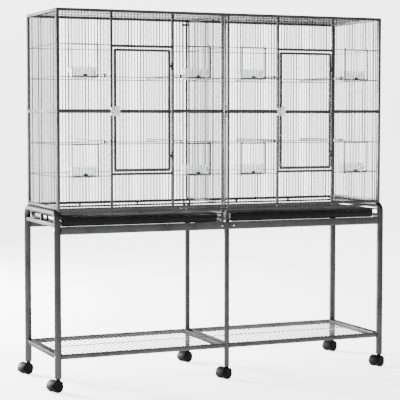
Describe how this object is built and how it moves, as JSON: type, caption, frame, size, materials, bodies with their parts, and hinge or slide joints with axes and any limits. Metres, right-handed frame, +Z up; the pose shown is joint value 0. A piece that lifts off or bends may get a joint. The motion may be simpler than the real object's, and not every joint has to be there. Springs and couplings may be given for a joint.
{
  "type": "bird cage",
  "caption": "double flight bird cage with a centre divider, hinged doors, lift-up feeder doors, pull-out trays and grilles, on a rolling stand with wire shelves",
  "frame": {"origin": "centre of the bounding box of the whole cage with its casters, on the floor", "axes": "+X to the right along the width as seen from the front, +Y from the doors to the back, +Z up"},
  "size_m": [1.6428, 0.529, 1.6285],
  "materials": {
    "dark_powder_coat": "hammered powder coat",
    "black_plastic": "satin",
    "bright_plate": "bright",
    "white_plastic": "gloss",
    "grey_plastic": "ribbed"
  },
  "bodies": {
    "cage": {"back_panel_left": "dark_powder_coat", "back_panel_right": "dark_powder_coat", "feeder_cup_left_inner_lower": "white_plastic", "feeder_cup_left_inner_upper": "white_plastic", "feeder_cup_left_outer_lower": "white_plastic", "feeder_cup_left_outer_upper": "white_plastic", "feeder_cup_right_inner_lower": "white_plastic", "feeder_cup_right_inner_upper": "white_plastic", "feeder_cup_right_outer_lower": "white_plastic", "feeder_cup_right_outer_upper": "white_plastic", "front_panel_left": "dark_powder_coat", "front_panel_right": "dark_powder_coat", "perch_left_inner_lower": "grey_plastic", "perch_left_inner_upper": "grey_plastic", "perch_left_outer_lower": "grey_plastic", "perch_left_outer_upper": "grey_plastic", "perch_right_inner_lower": "grey_plastic", "perch_right_inner_upper": "grey_plastic", "perch_right_outer_lower": "grey_plastic", "perch_right_outer_upper": "grey_plastic", "roof_panel_left": "dark_powder_coat", "roof_panel_right": "dark_powder_coat", "shelf_left": "dark_powder_coat", "shelf_right": "dark_powder_coat", "side_panel_left": "dark_powder_coat", "side_panel_right": "dark_powder_coat", "stand_back_rail": "dark_powder_coat", "stand_centre_frame": "dark_powder_coat", "stand_end_frame_left": "dark_powder_coat", "stand_end_frame_right": "dark_powder_coat", "stand_front_rail": "dark_powder_coat"},
    "door_left": {"main_door_left": "dark_powder_coat"},
    "latch_left": {"door_latch_left": "bright_plate"},
    "feeder_left_outer_upper": {"feeder_door_left_outer_upper": "dark_powder_coat"},
    "feeder_left_outer_lower": {"feeder_door_left_outer_lower": "dark_powder_coat"},
    "feeder_left_inner_upper": {"feeder_door_left_inner_upper": "dark_powder_coat"},
    "feeder_left_inner_lower": {"feeder_door_left_inner_lower": "dark_powder_coat"},
    "tray_left_body": {"tray_left": "black_plastic"},
    "grille_left_body": {"floor_grille_left": "dark_powder_coat"},
    "door_right": {"main_door_right": "dark_powder_coat"},
    "latch_right": {"door_latch_right": "bright_plate"},
    "feeder_right_outer_upper": {"feeder_door_right_outer_upper": "dark_powder_coat"},
    "feeder_right_outer_lower": {"feeder_door_right_outer_lower": "dark_powder_coat"},
    "feeder_right_inner_upper": {"feeder_door_right_inner_upper": "dark_powder_coat"},
    "feeder_right_inner_lower": {"feeder_door_right_inner_lower": "dark_powder_coat"},
    "tray_right_body": {"tray_right": "black_plastic"},
    "grille_right_body": {"floor_grille_right": "dark_powder_coat"},
    "divider": {"centre_divider": "dark_powder_coat"},
    "caster_front_left": {"caster_housing_front_left": "black_plastic"},
    "wheels_front_left": {"caster_wheels_front_left": "black_plastic"},
    "caster_front_centre": {"caster_housing_front_centre": "black_plastic"},
    "wheels_front_centre": {"caster_wheels_front_centre": "black_plastic"},
    "caster_front_right": {"caster_housing_front_right": "black_plastic"},
    "wheels_front_right": {"caster_wheels_front_right": "black_plastic"},
    "caster_back_left": {"caster_housing_back_left": "black_plastic"},
    "wheels_back_left": {"caster_wheels_back_left": "black_plastic"},
    "caster_back_centre": {"caster_housing_back_centre": "black_plastic"},
    "wheels_back_centre": {"caster_wheels_back_centre": "black_plastic"},
    "caster_back_right": {"caster_housing_back_right": "black_plastic"},
    "wheels_back_right": {"caster_wheels_back_right": "black_plastic"}
  },
  "joints": [
    {"name": "door_hinge_left", "type": "hinge", "parent": "cage", "child": "door_left", "pos_m": [-0.2487, -0.227, 1.194], "axis": [0, 0, 1], "range_deg": [0, 150]},
    {"name": "latch_slide_left", "type": "slide", "parent": "door_left", "child": "latch_left", "axis": [1, 0, 0], "range_m": [0, 0.014]},
    {"name": "feeder_left_outer_upper_lift", "type": "slide", "parent": "cage", "child": "feeder_left_outer_upper", "axis": [0, 0, 1], "range_m": [0, 0.115]},
    {"name": "feeder_left_outer_lower_lift", "type": "slide", "parent": "cage", "child": "feeder_left_outer_lower", "axis": [0, 0, 1], "range_m": [0, 0.115]},
    {"name": "feeder_left_inner_upper_lift", "type": "slide", "parent": "cage", "child": "feeder_left_inner_upper", "axis": [0, 0, 1], "range_m": [0, 0.115]},
    {"name": "feeder_left_inner_lower_lift", "type": "slide", "parent": "cage", "child": "feeder_left_inner_lower", "axis": [0, 0, 1], "range_m": [0, 0.115]},
    {"name": "tray_slide_left", "type": "slide", "parent": "cage", "child": "tray_left_body", "axis": [0, -1, 0], "range_m": [0, 0.43]},
    {"name": "grille_slide_left", "type": "slide", "parent": "cage", "child": "grille_left_body", "axis": [0, -1, 0], "range_m": [0, 0.43]},
    {"name": "door_hinge_right", "type": "hinge", "parent": "cage", "child": "door_right", "pos_m": [0.5419, -0.227, 1.194], "axis": [0, 0, 1], "range_deg": [0, 150]},
    {"name": "latch_slide_right", "type": "slide", "parent": "door_right", "child": "latch_right", "axis": [1, 0, 0], "range_m": [0, 0.014]},
    {"name": "feeder_right_outer_upper_lift", "type": "slide", "parent": "cage", "child": "feeder_right_outer_upper", "axis": [0, 0, 1], "range_m": [0, 0.115]},
    {"name": "feeder_right_outer_lower_lift", "type": "slide", "parent": "cage", "child": "feeder_right_outer_lower", "axis": [0, 0, 1], "range_m": [0, 0.115]},
    {"name": "feeder_right_inner_upper_lift", "type": "slide", "parent": "cage", "child": "feeder_right_inner_upper", "axis": [0, 0, 1], "range_m": [0, 0.115]},
    {"name": "feeder_right_inner_lower_lift", "type": "slide", "parent": "cage", "child": "feeder_right_inner_lower", "axis": [0, 0, 1], "range_m": [0, 0.115]},
    {"name": "tray_slide_right", "type": "slide", "parent": "cage", "child": "tray_right_body", "axis": [0, -1, 0], "range_m": [0, 0.43]},
    {"name": "grille_slide_right", "type": "slide", "parent": "cage", "child": "grille_right_body", "axis": [0, -1, 0], "range_m": [0, 0.43]},
    {"name": "divider_slide", "type": "slide", "parent": "cage", "child": "divider", "axis": [0, -1, 0], "range_m": [0, 0.43]},
    {"name": "caster_swivel_front_left", "type": "hinge", "parent": "cage", "child": "caster_front_left", "pos_m": [-0.76975, -0.2233, 0.055], "axis": [0, 0, 1], "continuous": true},
    {"name": "wheel_spin_front_left", "type": "hinge", "parent": "caster_front_left", "child": "wheels_front_left", "pos_m": [-0.78525, -0.22894, 0.025], "axis": [-0.342, 0.9397, 0], "continuous": true},
    {"name": "caster_swivel_front_centre", "type": "hinge", "parent": "cage", "child": "caster_front_centre", "pos_m": [0.01675, -0.2233, 0.055], "axis": [0, 0, 1], "continuous": true},
    {"name": "wheel_spin_front_centre", "type": "hinge", "parent": "caster_front_centre", "child": "wheels_front_centre", "pos_m": [0.00125, -0.22894, 0.025], "axis": [-0.342, 0.9397, 0], "continuous": true},
    {"name": "caster_swivel_front_right", "type": "hinge", "parent": "cage", "child": "caster_front_right", "pos_m": [0.80325, -0.2233, 0.055], "axis": [0, 0, 1], "continuous": true},
    {"name": "wheel_spin_front_right", "type": "hinge", "parent": "caster_front_right", "child": "wheels_front_right", "pos_m": [0.78775, -0.22894, 0.025], "axis": [-0.342, 0.9397, 0], "continuous": true},
    {"name": "caster_swivel_back_left", "type": "hinge", "parent": "cage", "child": "caster_back_left", "pos_m": [-0.76975, 0.2355, 0.055], "axis": [0, 0, 1], "continuous": true},
    {"name": "wheel_spin_back_left", "type": "hinge", "parent": "caster_back_left", "child": "wheels_back_left", "pos_m": [-0.78525, 0.22986, 0.025], "axis": [-0.342, 0.9397, 0], "continuous": true},
    {"name": "caster_swivel_back_centre", "type": "hinge", "parent": "cage", "child": "caster_back_centre", "pos_m": [0.01675, 0.2355, 0.055], "axis": [0, 0, 1], "continuous": true},
    {"name": "wheel_spin_back_centre", "type": "hinge", "parent": "caster_back_centre", "child": "wheels_back_centre", "pos_m": [0.00125, 0.22986, 0.025], "axis": [-0.342, 0.9397, 0], "continuous": true},
    {"name": "caster_swivel_back_right", "type": "hinge", "parent": "cage", "child": "caster_back_right", "pos_m": [0.80325, 0.2355, 0.055], "axis": [0, 0, 1], "continuous": true},
    {"name": "wheel_spin_back_right", "type": "hinge", "parent": "caster_back_right", "child": "wheels_back_right", "pos_m": [0.78775, 0.22986, 0.025], "axis": [-0.342, 0.9397, 0], "continuous": true}
  ]
}
